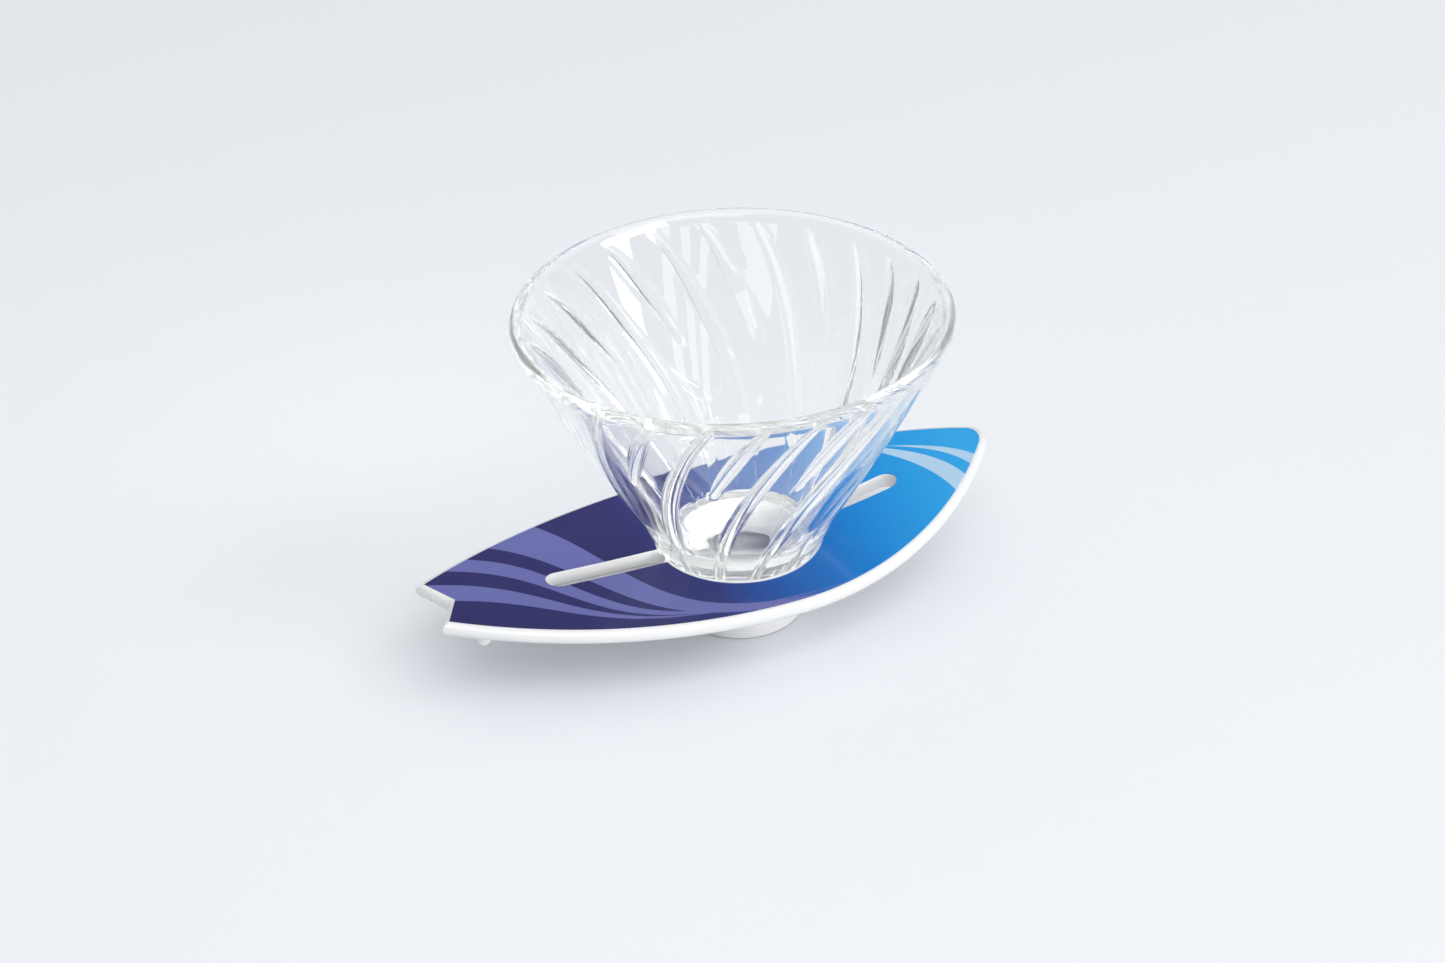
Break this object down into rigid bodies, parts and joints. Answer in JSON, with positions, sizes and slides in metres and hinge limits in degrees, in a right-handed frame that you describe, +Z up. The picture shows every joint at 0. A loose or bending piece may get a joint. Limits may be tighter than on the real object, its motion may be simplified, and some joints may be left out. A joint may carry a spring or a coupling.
{
  "type": "pour over dripper",
  "caption": "Clear ribbed glass cone for brewing filter coffee, seated in a curved board shaped base with viewing slots and a turn-to-lock foot ring.",
  "frame": {"origin": "centre of the foot ring's underside, on the surface that the dripper stands on", "axes": "+Z up along the cone's axis, +X towards the nose of the board, +Y across the board"},
  "size_m": [0.1635, 0.116, 0.0924],
  "materials": {
    "cone": "clear polished pressed glass",
    "packing": "translucent white silicone",
    "board": "white gloss",
    "top_film": "gloss print, navy at the tail to azure at the nose",
    "lock_ring": "satin, slightly translucent white",
    "ring_seal": "translucent white silicone"
  },
  "bodies": {
    "base": {"board": "board", "top_film": "top_film", "packing": "packing"},
    "foot": {"lock_ring": "lock_ring", "ring_seal": "ring_seal"},
    "funnel": {"cone": "cone"}
  },
  "joints": [
    {"name": "ring_turn", "type": "hinge", "parent": "base", "child": "foot", "pos_m": [0, 0, 0.01], "axis": [0, 0, 1], "range_deg": [0, 45]},
    {"name": "cone_lift", "type": "slide", "parent": "base", "child": "funnel", "axis": [0, 0, 1], "range_m": [0, 0.09]}
  ]
}
